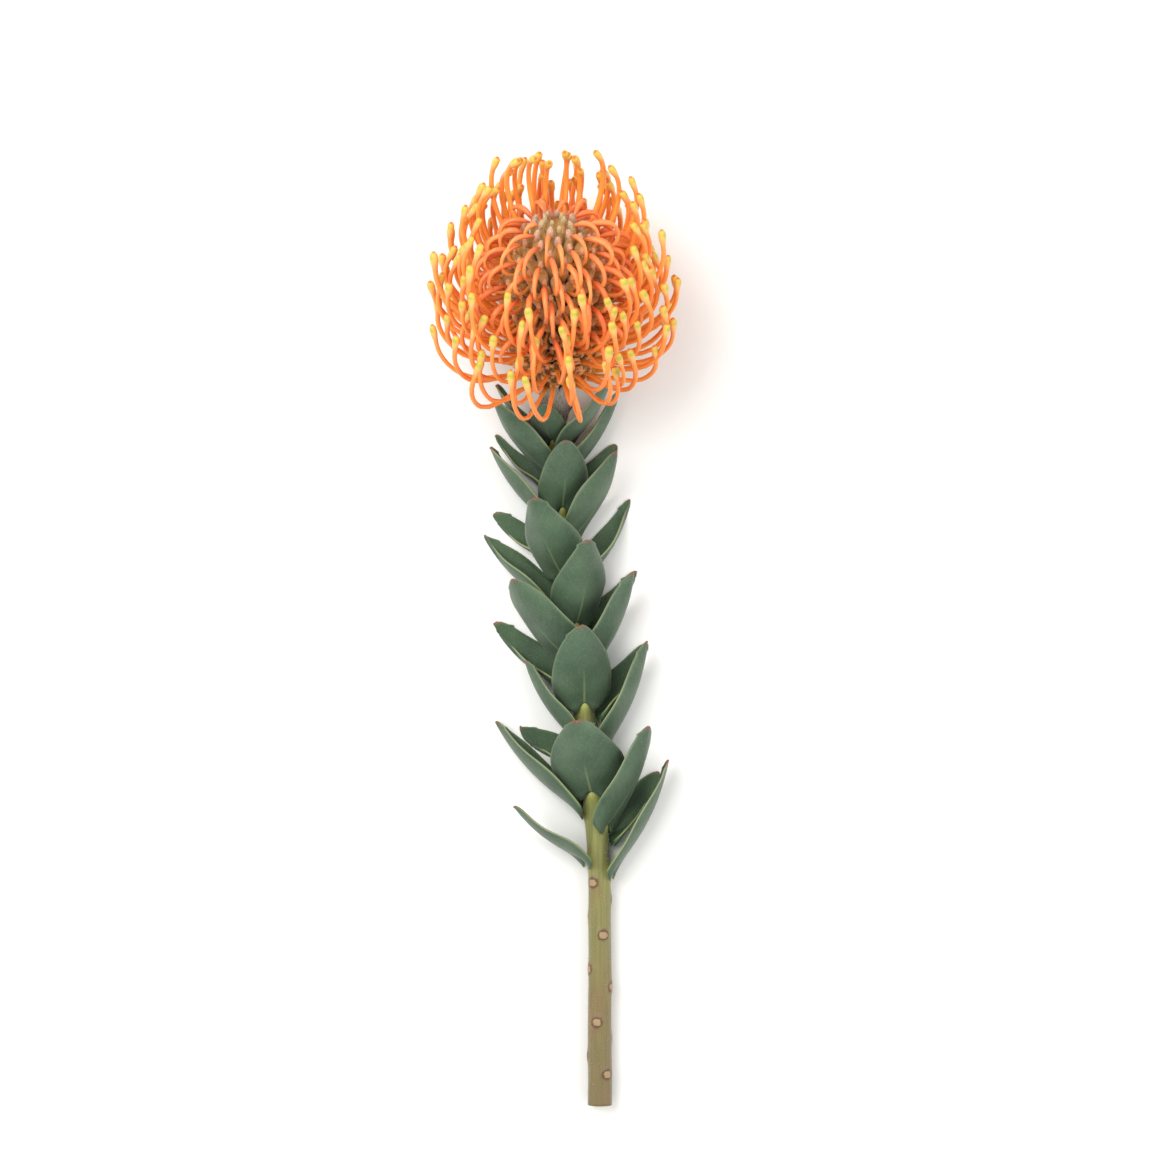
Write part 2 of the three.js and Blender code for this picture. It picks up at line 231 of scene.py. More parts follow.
CUT_Y = NECK.y - STEM_REACH
CUP_FOOT = head_point(0, -CUP_LENGTH, 0)
BEND_RADIUS = (CUP_FOOT.z - CUT_RADIUS - STEM_RISE) / (1 - cos(HEAD_TILT))
BEND_START = CUP_FOOT.y - BEND_RADIUS * sin(HEAD_TILT)


def stem_centre(distance):
    """The stem's middle at a distance from its cut: it lies, sways, and bends up at the bloom."""
    y = CUT_Y + distance
    x = NECK.x + STEM_SWAY * smooth((NECK.y - y - SWAY_START) / SWAY_LENGTH)
    lying = CUT_RADIUS + STEM_RISE * smooth((y - CUT_Y) / (BEND_START - CUT_Y))
    turn = max(y - BEND_START, 0)
    return Vector((x, y, lying + BEND_RADIUS - sqrt(BEND_RADIUS ** 2 - turn ** 2)))


def stem_radius(distance):
    """How thick the bare stem is at a distance from its cut."""
    share = share_of(distance / (STEM_REACH - UNTAPERED))
    return CUT_RADIUS + (TOP_RADIUS - CUT_RADIUS) * share


def stem_side(distance, side_degrees):
    """The stem's own direction, and the direction away from it on one side."""
    forward = (stem_centre(distance + MM) - stem_centre(distance - MM)).normalized()
    beside = forward.cross(UP).normalized()
    side = radians(side_degrees)
    return forward, beside * cos(side) + beside.cross(forward) * sin(side)


def tube_form(sides, steps):
    """The mesh of a straight closed tube, to be bent: its height runs from 0 to 1."""
    form = bmesh.new()
    bmesh.ops.create_cone(form, cap_ends=True, segments=sides, radius1=1, radius2=1, depth=1)
    bmesh.ops.translate(form, verts=form.verts, vec=(0, 0, 0.5))
    upright = [edge for edge in form.edges if abs(edge.verts[0].co.z - edge.verts[1].co.z) > 0.5]
    bmesh.ops.subdivide_edges(form, edges=upright, cuts=steps - 1)
    return mesh_of("tube_form", form)


def copies_of(mesh, count):
    """A bmesh with copies of a mesh, and the vertices of each copy."""
    form = bmesh.new()
    for _ in range(count):
        form.from_mesh(mesh)
    form.verts.ensure_lookup_table()
    size = len(mesh.vertices)
    return form, [form.verts[size * copy:size * (copy + 1)] for copy in range(count)]


def turn_out(form):
    """Makes the faces of closed shapes point outwards, once the vertices are in place."""
    form.normal_update()
    bmesh.ops.recalc_face_normals(form, faces=form.faces)


def bend_along(vertices, line, radii, across):
    """Bends a tube along a line of points with a radius at each; across is square to the line."""
    last = len(line) - 1
    rings = []
    for step, point in enumerate(line):
        along = (line[min(step + 1, last)] - line[max(step - 1, 0)]).normalized()
        first = across.cross(along).normalized()
        rings.append((point, first * radii[step], along.cross(first) * radii[step]))
    for vertex in vertices:
        x, y, height = vertex.co
        point, first, second = rings[round(height * last)]
        vertex.co = on_table(point + first * x + second * y)


def painted(piece, **numbers):
    """Gives every vertex numbers that the materials read by their names."""
    for name, values in numbers.items():
        layer = piece.data.attributes.new(name, "FLOAT", "POINT")
        layer.data.foreach_set("value", np.asarray(values, np.float32))


def add(tree, kind, inputs=None, **settings):
    """Adds a shader node; an input is given a link, a number or the name of a painted number."""
    node = tree.nodes.new("ShaderNode" + kind)
    for name, value in settings.items():
        setattr(node, name, value)
    for name, value in (inputs or {}).items():
        if isinstance(value, str):
            value = add(tree, "Attribute", attribute_name=value).outputs["Fac"]
        if isinstance(value, bpy.types.NodeSocket):
            tree.links.new(value, node.inputs[name])
        else:
            node.inputs[name].default_value = value
    return node


def ramp(tree, value, stops):
    """Colours along a value from 0 to 1, from a list of places and screen colours."""
    node = add(tree, "ValToRGB", {"Fac": value})
    elements = node.color_ramp.elements
    while len(elements) < len(stops):
        elements.new(0.5)
    for element, (place, *colour) in zip(elements, stops):
        element.position = place
        element.color = tint(*colour)
    return node.outputs["Color"]


def rising(tree, value, start, end):
    """Black up to a start, white from an end on."""
    return ramp(tree, value, [(start, *BLACK), (end, *WHITE)])


def falling(tree, value, start, end):
    """White up to a start, black from an end on."""
    return ramp(tree, value, [(start, *WHITE), (end, *BLACK)])


def mixed(tree, share, first, second):
    """Two colours, mixed by a share of the second; 6, 7 and 2 are the node's colour sockets."""
    node = add(tree, "Mix", {0: share, 6: first, 7: second}, data_type="RGBA")
    return node.outputs[2]


def maths(tree, operation, first, second=0.0):
    """One sum of two shader values or numbers."""
    return add(tree, "Math", {0: first, 1: second}, operation=operation).outputs[0]


def times(tree, value, factor):
    """A shader value, multiplied by another one or by a number."""
    return maths(tree, "MULTIPLY", value, factor)


def noise(tree, scale, stretch=(1, 1, 1), detail=3.0):
    """Noise that is fixed to the object, drawn out along its axes by dividing the stretch."""
    places = add(tree, "TexCoord").outputs["Object"]
    drawn = add(tree, "Mapping", {"Vector": places, "Scale": stretch}).outputs["Vector"]
    return add(tree, "TexNoise", {"Vector": drawn, "Scale": scale, "Detail": detail}).outputs["Fac"]


def skin(tree, colour, bumps=None, depth=0.0, strength=0.0):
    """Gives a material its colour and, where bumps are given, their relief, deep in metres."""
    shader = tree.nodes[SHADER]
    tree.links.new(colour, shader.inputs["Base Color"])
    if bumps is not None:
        relief = add(tree, "Bump", {"Height": bumps, "Distance": depth, "Strength": strength})
        tree.links.new(relief.outputs["Normal"], shader.inputs["Normal"])


bark, tree = finish("stem_skin", 0.55, sheen=0.25)
grown = ramp(tree, "along", [
    (0.0, 118, 100, 62), (0.28, 128, 122, 66), (0.55, 140, 148, 74), (1.0, 150, 160, 78),
])
patches = rising(tree, noise(tree, 90, (1, 0.35, 1)), 0.42, 0.62)
blushed = mixed(tree, patches, grown, tint(128, 88, 62))
weathered = mixed(tree, times(tree, patches, 0.35), grown, blushed)
fibres = noise(tree, 900, (1, 0.06, 1))
streaks = rising(tree, fibres, 0.38, 0.68)
streaked = mixed(tree, times(tree, streaks, 0.4), weathered, tint(84, 84, 40))
scar_colour = ramp(tree, "scar", [
    (0.1, 112, 88, 54), (0.5, 84, 56, 38), (0.68, 98, 68, 48), (0.8, 158, 132, 92),
])
scar_share = rising(tree, "scar", 0.05, 0.4)
scarred = mixed(tree, scar_share, streaked, scar_colour)
fresh = mixed(tree, "cushion", scarred, tint(172, 178, 92))
skin(tree, fresh, fibres, depth=0.25 * MM, strength=0.6)

cut_wood, tree = finish("cut_end", 0.7)
places = add(tree, "TexCoord").outputs["Object"]
centred = add(tree, "Mapping", {"Vector": places, "Location": -stem_centre(0)}).outputs["Vector"]
off_centre = add(tree, "VectorMath", {0: centred}, operation="LENGTH").outputs["Value"]
rings = ramp(tree, maths(tree, "DIVIDE", off_centre, CUT_RADIUS), [
    (0.0, 206, 190, 146), (0.18, 222, 212, 168), (0.3, 226, 220, 176), (0.72, 206, 204, 146),
    (0.84, 150, 158, 84), (0.97, 110, 96, 60),
])
skin(tree, rings, noise(tree, 1400), depth=0.15 * MM, strength=0.5)

cushions = [(row[0] * MM, row[1], 1.0) for row in LEAVES]
scars = [
    (SCAR_SPACING * (number + 1), degrees(GOLDEN_ANGLE) * (number + 2), SCAR_STRENGTH)
    for number in range(OLD_SCARS)
]
swellings = [
    (distance, *stem_side(distance, side), strength)
    for distance, side, strength in cushions + scars
]
stem_length = CUP_FOOT.y - CUT_Y
form, (stem_vertices,) = copies_of(tube_form(STEM_SIDES, STEM_STEPS), 1)
along_stem = [vertex.co.z for vertex in stem_vertices]
cushion_paint = []
scar_paint = []
for vertex in stem_vertices:
    x, y, share = vertex.co
    around = atan2(y, x)
    distance = share * stem_length
    _, outward = stem_side(distance, degrees(around))
    radius = stem_radius(distance)
    radius += FLUTES["height"] * sin(FLUTES["count"] * around + FLUTES["twist"] * share)
    living = 0.0
    fallen = 0.0
    for place, _, out, strength in swellings:
        apart = (distance - place + CUSHION["below"]) / CUSHION["length"]
        if abs(apart) < 3:
            bulge = exp(-apart ** 2) * max(outward.dot(out), 0) ** CUSHION["narrowness"]
            radius += CUSHION["height"] * strength * bulge
            if strength == 1.0:
                living = max(living, bulge)
            else:
                fallen = max(fallen, bulge)
    cushion_paint.append(living * 0.7)
    scar_paint.append(smooth((fallen - 0.35) / 0.4) * 0.85)  # most in a scar's flat middle
    vertex.co = on_table(stem_centre(distance) + outward * radius)
turn_out(form)
form.faces.ensure_lookup_table()
for face in form.faces:
    if len(face.verts) > 4 and face.calc_center_median().y < CUT_Y + MM:
        face.material_index = 1
        face.smooth = False
stem = made("stem_shoot", form, bark, cut_wood)
painted(stem, along=along_stem, cushion=cushion_paint, scar=scar_paint)
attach(stem, "root")
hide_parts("stem")

# The stem's down: short pale hairs all over its skin, thinner than a thread. They grew from it and
# lean a little towards the bloom.
STEM_HAIRS = 2600
HAIR_LENGTH = 1.3 * MM
HAIR_RADIUS = 0.05 * MM
HAIR_ROOT = 0.1 * MM  # how deep a hair starts under the skin


def sliver_form():
    """The mesh of one hair: a three-sided needle, one unit long and nearly pointed."""
    form = bmesh.new()
    bmesh.ops.create_cone(form, cap_ends=True, segments=3, radius1=1, radius2=0.15, depth=1)
    bmesh.ops.translate(form, verts=form.verts, vec=(0, 0, 0.5))
    return mesh_of("sliver_form", form)


def hairs(name, roots, radius, material):
    """A piece of many hairs, each from its root along a direction as long as the hair."""
    form, copies = copies_of(sliver_form(), len(roots))
    for (root, growth), vertices in zip(roots, copies):
        across = growth.cross(UP if abs(growth.normalized().z) < 0.9 else RIGHT).normalized()
        second = growth.normalized().cross(across)
        for vertex in vertices:
            x, y, share = vertex.co
            vertex.co = on_table(root + growth * share + (across * x + second * y) * radius)
    return made(name, form, material)


down, tree = finish("pale_down", 0.6, sheen=0.4)
down_colour = ramp(tree, noise(tree, 500), [(0.3, 196, 190, 160), (0.7, 228, 224, 204)])
skin(tree, down_colour)
roots = []
for number in range(STEM_HAIRS):
    distance = (0.01 + 0.98 * draw(number, 21)) * stem_length
    forward, outward = stem_side(distance, 360 * draw(number, 22))
    growth = outward + forward * (0.9 * draw(number, 23)) + RIGHT * (0.5 * (draw(number, 24) - 0.5))
    root = stem_centre(distance) + outward * (stem_radius(distance) - HAIR_ROOT)
    roots.append((root, growth.normalized() * HAIR_LENGTH * (0.6 + 0.6 * draw(number, 25))))
stem_down = hairs("stem_down", roots, HAIR_RADIUS, down)
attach(stem_down, "root")
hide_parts("stem")

# Leaves: thick, dull blue-green blades that sit on the stem without stalks, cupped towards it,
# with a thin pale margin and a reddish callus at the tip. Each grows from its cushion on the stem.
LEAF_THICKNESS = 0.8 * MM
LEAF_STEPS = 20
LEAF_LEVEL = 0.38 * MM
LEAF_EASE = 1.2 * MM
LEAF_GAP = 0.35 * MM
LEAF_TWIST = radians(24)  # the most between the twists of two leaves
FOOT_OPENING = 16  # degrees that a leaf's foot stands out more than its spread
CURL = 34  # degrees that it bends back in, foot to tip
LOBE = 5.6 * MM  # how far the blade's two rounded ears reach down past its foot
EAR_COLUMN = 0.74  # where an ear is longest, from the rib at 0 to the edge at 1
MOST_TEETH = 2
TOOTH = {"height": 1.1 * MM, "length": 0.016}  # its length as a share of the leaf's
RIPPLE = {"height": 0.7 * MM, "waves": 9}
VEINS = {"slant": 1.5, "spacing": 2.6}  # the spacing in mm, as all of the next three
RIB_WIDTH = 1.2
EDGE_WIDTH = 2.0


def leaf_colours(name, pale, deep, vein_strength):
    """The skin of one face of the leaves, with a pale rib that fades out and faint side veins."""
    material, tree = finish(name, 0.5, 0.4, sheen=0.12)
    clouds = ramp(tree, noise(tree, 60, detail=6), [(0.32, *deep), (0.7, *pale)])
    specks = rising(tree, noise(tree, 1500), 0.55, 0.75)
    dusty = mixed(tree, times(tree, specks, 0.25), clouds, tint(138, 158, 136))
    off_rib = maths(tree, "ABSOLUTE", "across_mm")
    slanted = maths(tree, "SUBTRACT", "along_mm", times(tree, off_rib, VEINS["slant"]))
    wave = maths(tree, "PINGPONG", slanted, VEINS["spacing"])
    veins = falling(tree, wave, 0.0, 0.16)
    veined = mixed(tree, times(tree, veins, 0.3 * vein_strength), dusty, tint(122, 146, 112))
    rib = falling(tree, maths(tree, "DIVIDE", off_rib, RIB_WIDTH), 0.15, 0.6)
    fading = falling(tree, "along", 0.02, 0.5)
    rib_share = times(tree, times(tree, rib, fading), vein_strength)
    ribbed = mixed(tree, rib_share, veined, tint(138, 158, 106))
    edge = falling(tree, maths(tree, "DIVIDE", "rim_mm", EDGE_WIDTH), 0.1, 0.42)
    edged = mixed(tree, times(tree, edge, 0.4), ribbed, tint(128, 144, 108))
    tipped = mixed(tree, "callus", edged, tint(138, 74, 64))
    relief = maths(tree, "ADD", noise(tree, 260), times(tree, rib, 0.5))
    skin(tree, tipped, relief, depth=0.3 * MM, strength=0.35)
    return material


upper_skin = leaf_colours("leaf_upper_skin", (66, 94, 58), (42, 68, 40), 0.5)
under_skin = leaf_colours("leaf_under_skin", (82, 104, 78), (56, 79, 56), 0.8)
margin, tree = finish("leaf_margin", 0.5)
margin_colour = ramp(tree, "along", [
    (0.0, 138, 150, 92), (0.6, 142, 150, 112), (0.94, 138, 138, 104), (0.99, 138, 72, 60),
])
skin(tree, margin_colour)


def leaf_half_width(share):
    """Half a blade's width, foot to tip, against its widest: an egg shape, blunt at the tip."""
    foot = 0.28 * (1 - share) ** 6
    blade = sin(pi * share ** 0.75) ** 0.62 * (1 - 0.12 * share) if 0 < share < 1 else 0
    return foot + blade + 0.04 * share


def ear(column):
    """How far down a blade's foot reaches, as a share of its ears."""
    outer = smooth((abs(column) - EAR_COLUMN) / (1 - EAR_COLUMN))
    return smooth(abs(column) / EAR_COLUMN) * (1 - 0.4 * outer)


def leaf_midrib(index, row):
    """The points along the rib, and at each the direction of the upper face and of one edge."""
    distance, side_degrees, length, _, spread_degrees = row
    distance *= MM
    forward, outward = stem_side(distance, side_degrees)
    sideways = forward.cross(outward)
    place = stem_centre(distance) + outward * (stem_radius(distance) + LEAF_GAP + LEAF_THICKNESS)
    twist = LEAF_TWIST * (draw(index, 1) - 0.5)
    stations = []
    for step in range(LEAF_STEPS + 1):
        share = step / LEAF_STEPS
        spread = radians(spread_degrees + FOOT_OPENING - CURL * share)
        along = forward * cos(spread) + outward * sin(spread)
        inward = forward * sin(spread) - outward * cos(spread)
        face = inward * cos(twist * share) + sideways * sin(twist * share)
        stations.append((place.copy(), along, face, along.cross(face)))
        place += along * length * MM / LEAF_STEPS
    return stations


for index, row in enumerate(LEAVES):
    length, width = row[2] * MM, row[3] * MM
    forward, _ = stem_side(row[0] * MM, row[1])
    stations = leaf_midrib(index, row)
    cup = 0.3 + 0.25 * draw(index, 2)
    teeth = int((MOST_TEETH + 1) * draw(index, 11))
    wave_phase = 2 * pi * draw(index, 12)
    form = bmesh.new()
    bmesh.ops.create_grid(form, x_segments=14, y_segments=2 * LEAF_STEPS, size=1)
    paint = {"along": [], "across_mm": [], "along_mm": [], "rim_mm": [], "callus": []}
    for vertex in form.verts:
        column = vertex.co.x
        share = (vertex.co.y + 1) / 2
        step = min(int(share * LEAF_STEPS), LEAF_STEPS - 1)
        between = share * LEAF_STEPS - step
        near, far = stations[step], stations[step + 1]
        point, along, face, edge = (a.lerp(b, between) for a, b in zip(near, far))
        half = (leaf_half_width(share) + 0.2 * (1 - share) ** 8) * width / 2
        for tooth in range(teeth):
            centre = 0.9 + 0.05 * draw(index, 13 + tooth)
            sided = column * (1 if tooth == 0 else -1)
            swell = exp(-((share - centre) / TOOTH["length"]) ** 2)
            half += TOOTH["height"] * swell * smooth(sided)
        wave = sin(RIPPLE["waves"] * share + wave_phase)
        ripple = RIPPLE["height"] * wave * column ** 3
        spot = point + edge * (column * half) + face * (cup * column ** 2 * half + ripple)
        spot -= forward * (LOBE * ear(column) * (1 - share) ** 8)
        spot.z = rest_on(LEAF_LEVEL, spot.z, LEAF_EASE)
        vertex.co = spot
        paint["along"].append(share)
        paint["across_mm"].append(column * half / MM)
        paint["along_mm"].append(share * length / MM)
        paint["rim_mm"].append((1 - abs(column)) * half / MM + 1.5 * (0.15 - min(share, 0.15)))
        paint["callus"].append(0.85 * smooth((share - 0.965) / 0.03))
    blade = made(f"leaf_blade_{index + 1:02d}", form, upper_skin, under_skin, margin)
    painted(blade, **paint)
    thick = blade.modifiers.new("thickness", "SOLIDIFY")
    thick.thickness = LEAF_THICKNESS
    thick.offset = 0
    thick.material_offset = 1
    thick.material_offset_rim = 2
    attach(blade, "root")
    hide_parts(f"leaf_{index + 1:02d}")

# The cup under the bloom: the swollen end of the stem, wrapped in narrow pointed scales that
# overlap like tiles, grey-brown and silky. They grow from the cup, each behind the ones below.
CUP_PROFILE = [(4.5, 0), (5.1, 5), (6.6, 13), (8.4, 20), (9.2, 25)]  # radius and height, mm
CUP_SIDES = 20
CUP_STEPS = 12
SCALES = 120
SCALE_LENGTH = 9.5 * MM
SCALE_WIDTH = 3.6 * MM
SCALE_FEET = (-0.5, 21.0)  # the lowest and the highest, mm above the cup's foot
SCALE_GAP = 0.35
SCALE_THICKNESS = 0.28 * MM
SCALE_BOW = 0.5 * MM  # how much its edges hug the cup


def cup_radius(height):
    """How thick the cup is at a height above its foot, both in metres."""
    heights = [level * MM for _, level in CUP_PROFILE]
    return float(np.interp(height, heights, [radius * MM for radius, _ in CUP_PROFILE]))


cup_skin, tree = finish("cup_skin", 0.8)
cup_felt = noise(tree, 900)
cup_colour = ramp(tree, cup_felt, [(0.35, 56, 46, 34), (0.68, 92, 78, 60)])
skin(tree, cup_colour, cup_felt, depth=0.4 * MM, strength=0.7)
form, (cup_vertices,) = copies_of(tube_form(CUP_SIDES, CUP_STEPS), 1)
levels = [CUP_LENGTH * step / CUP_STEPS for step in range(CUP_STEPS + 1)]
cup_line = [head_point(0, level - CUP_LENGTH, 0) for level in levels]
bend_along(cup_vertices, cup_line, [cup_radius(level) for level in levels], RIGHT)
turn_out(form)
cup = made("cup_body", form, cup_skin)
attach(cup, "root")
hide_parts("involucre")


def toned(tree, share, dark, light, stops):
    """Colours along each copy, and a share of its own tone, which lies between two colours."""
    tone = mixed(tree, "tone", tint(*dark), tint(*light))
    return mixed(tree, share, ramp(tree, "along", stops), tone)


scale_skin, tree = finish("scale_skin", 0.65, sheen=0.5)
silky = toned(tree, 0.5, (104, 90, 74), (146, 134, 116), [
    (0.0, 150, 150, 110), (0.4, 168, 160, 146), (0.85, 120, 96, 80), (1.0, 82, 58, 46),
])
silk = noise(tree, 1600, (1, 0.12, 0.4))
brushed = mixed(tree, times(tree, silk, 0.5), silky, tint(196, 190, 180))
skin(tree, brushed, silk, depth=0.2 * MM, strength=0.7)


def plate_form(across, along):
    """The mesh of a closed plate, from -1 to 1 across and along and one unit thick, to be bent."""
    form = bmesh.new()
    bmesh.ops.create_grid(form, x_segments=across, y_segments=along, size=1)
    bmesh.ops.solidify(form, geom=form.faces[:], thickness=1.0)
    return mesh_of("plate_form", form)


form, copies = copies_of(plate_form(4, 6), SCALES)
lowest, highest = SCALE_FEET
tone_paint = []
along_paint = []
for number, vertices in enumerate(copies):
    share = (number + 0.5) / SCALES
    foot = (lowest + share * (highest - lowest)) * MM
    turn = number * GOLDEN_ANGLE
    spread = 0.25 + 0.5 * draw(number, 31) + (1.6 if share < 0.05 else 0)
    for vertex in vertices:
        column, row, layer = vertex.co.x, (vertex.co.y + 1) / 2, vertex.co.z
        half = SCALE_WIDTH / 2 * (sin(pi * (0.22 + 0.78 * row)) ** 0.8 + 0.02)
        height = foot + row * SCALE_LENGTH
        lift = (SCALE_GAP + spread * row ** 2.5) * MM
        lift += SCALE_THICKNESS * layer - SCALE_BOW * column ** 2
        radius = cup_radius(height) + lift
        vertex.co = head_point(radius, height - CUP_LENGTH, turn + column * half / radius)
        along_paint.append(row)
        tone_paint.append(draw(number, 32))
turn_out(form)
scales = made("cup_scales", form, scale_skin)
painted(scales, along=along_paint, tone=tone_paint)
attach(scales, "root")
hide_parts("involucre")

# The cup's silk: longer pale hairs that grew from its scales and lie along them, towards the bloom,
# so that the cup looks grey from afar.
SILK_HAIRS = 1500
SILK_RADIUS = 0.05 * MM
SILK_ROOT = 0.4 * MM  # above the cup's own skin, inside its scales

roots = []
for number in range(SILK_HAIRS):
    height = CUP_LENGTH * draw(number, 33)
    turn = 2 * pi * draw(number, 34)
    root = head_point(cup_radius(height) + SILK_ROOT, height - CUP_LENGTH, turn)
    outward = (head_point(1, 0, turn) - head_point(0, 0, 0)).normalized()
    growth = AXIS + outward * (0.2 + 0.4 * draw(number, 35))
    growth += RIGHT * (0.4 * (draw(number, 36) - 0.5))
    roots.append((root, growth.normalized() * (2.0 + 1.6 * draw(number, 37)) * MM))
cup_silk = hairs("cup_silk", roots, SILK_RADIUS, down)
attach(cup_silk, "root")
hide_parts("involucre")

# The bed of the bloom: a knob of golden-brown felt on the end of the stem, which every floret grows
# on. It shows only in the gaps between them.
FLORETS = 248
LOWEST_ANGLE = radians(140)  # from the bloom's axis, of the lowest ring of florets
BED = {"radius": 10 * MM, "half": 32 * MM, "centre": 26 * MM}
MASS = {"radius": 28 * MM, "half": 45 * MM, "centre": 40 * MM}  # where closed florets end
BED_SHARE = 1.12  # how much thicker it is than where the florets start
BED_FOOT = 0.3 * MM  # above the neck

felt, tree = finish("bed_felt", 0.9)
felt_colour = ramp(tree, noise(tree, 700), [(0.35, 116, 92, 36), (0.7, 172, 136, 58)])
skin(tree, felt_colour, noise(tree, 1100), depth=0.6 * MM, strength=0.8)
form = bmesh.new()
bmesh.ops.create_uvsphere(form, u_segments=24, v_segments=16, radius=1)
for vertex in form.verts:
    radius = BED["radius"] * BED_SHARE * hypot(vertex.co.x, vertex.co.y)
    height = max(BED["centre"] + BED["half"] * BED_SHARE * vertex.co.z, BED_FOOT)
    vertex.co = head_point(radius, height, atan2(vertex.co.y, vertex.co.x))
turn_out(form)
bed = made("bloom_bed", form, felt)
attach(bed, "root")
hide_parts("flower_head")

# The florets' tubes: every floret is a hairy tube, lime-green and swollen at its foot, beige
# further out. Closed ones stand full length, and opened ones end in a ragged mouth, with
# shade painted dark inside it.
OPEN_TUBE = 0.72  # share of the tube left whole on an opened floret
TUBE_PLACES = (0.0, 0.1, 0.25, 0.5, 0.75, 0.9, 1.0)  # along a whole tube
TUBE_GIRTH = (1.0, 1.5, 1.5, 1.7, 2.5, 2.2, 1.3)  # its radius there, mm
TUBE_SIDES = 9
TUBE_STEPS = 7
THROAT = 2.4 * MM  # how deep an opened tube is seen into
RAGGED = 1.2 * MM  # how uneven its rim is
BELOW_RIM = 0.5 * MM  # how much nearer to it the ring below it is moved
TUBE_CAP = 0.3 * MM  # how much a closed tube's end is domed
TUBE_HAIRS = 13
FIRST_HAIR_RING = 3
HAIR_RISE = 1.8 * MM
HAIR_SPREAD = 1.6  # a hair's tip from the tube's middle, against its root
GRAIN_AND_HIGHLIGHT_SHIFT = 9  # the most between the streaks of two copies, grain and painted highlights


def floret(index):
    """Where a floret grows, counted from the oldest at the foot to the youngest on top."""
    age = 1 - (index + 0.5) / FLORETS
    around = (index * GOLDEN_ANGLE) % (2 * pi)
    from_axis = acos(1 - age * (1 - cos(LOWEST_ANGLE)))
    sine, cosine = sin(from_axis), cos(from_axis)
    off, up = BED["radius"] * sine, BED["centre"] + BED["half"] * cosine
    end_off, end_up = MASS["radius"] * sine, MASS["centre"] + MASS["half"] * cosine
    open_above = 0.38 + 0.27 * sin(around) + 0.1 * (draw(index, 3) - 0.5)
    stage = "open" if age > open_above else "looped"
    return {
        "index": index, "age": age, "around": around, "off": off, "up": up,
        "reach": hypot(end_off - off, end_up - up),
        "lean": atan2(end_off - off, end_up - up),
        "stage": "bud" if age < 0.02 else stage,
        "across": (HEAD_UP * cos(around) - RIGHT * sin(around)).normalized(),
    }


def floret_point(flower, out, off, beside=0.0):
    """A point out along a floret, off it away from the apex, and beside it."""
    sine, cosine = sin(flower["lean"]), cos(flower["lean"])
    radius = flower["off"] + out * sine + off * cosine
    height = flower["up"] + out * cosine - off * sine
    return head_point(radius, height, flower["around"]) + flower["across"] * beside


def painted_rounds(piece, mesh, flowers):
    """Paints where each vertex lies round its own copy, for streaks that run along it."""
    rounds = np.array([vertex.co[:] for vertex in mesh.vertices])
    shifts = np.array([GRAIN_AND_HIGHLIGHT_SHIFT * draw(flower["index"], 43) for flower in flowers])
    shifted = (shifts[:, None] + rounds[:, 0]).ravel()
    painted(piece, round_x=shifted, round_y=np.tile(rounds[:, 1], len(flowers)))


def grain_and_highlight_streaks(tree, scale, stretch):
    """Noise along each copy of a shape, a little stretched, for grain and painted highlights."""
    height = times(tree, "along", stretch)
    places = {"X": "round_x", "Y": "round_y", "Z": height}
    spot = add(tree, "CombineXYZ", places).outputs[0]
    return add(tree, "TexNoise", {"Vector": spot, "Scale": scale, "Detail": 3.0}).outputs["Fac"]


florets = [floret(index) for index in range(FLORETS)]
opened = [flower for flower in florets if flower["stage"] == "open"]
looped = [flower for flower in florets if flower["stage"] == "looped"]
closed = [flower for flower in florets if flower["stage"] != "open"]

tube_skin, tree = finish("tube_skin", 0.6, sheen=0.35)
# the ramp's dark brown end is painted shade, inside an opened tube's mouth
tube_colour = toned(tree, 0.3, (168, 134, 46), (252, 212, 124), [
    (0.0, 166, 174, 56), (0.3, 200, 184, 66), (0.6, 226, 180, 80), (0.85, 242, 188, 100),
    (1.0, 140, 86, 36),
])
tube_streaks = rising(tree, grain_and_highlight_streaks(tree, 2.2, 1.5), 0.35, 0.65)
speckled = mixed(tree, times(tree, noise(tree, 1500), 0.25), tube_colour, tint(128, 80, 30))
streaked = mixed(tree, times(tree, tube_streaks, 0.3), speckled, tint(148, 90, 38))
skin(tree, streaked, tube_streaks, depth=0.2 * MM, strength=0.5)

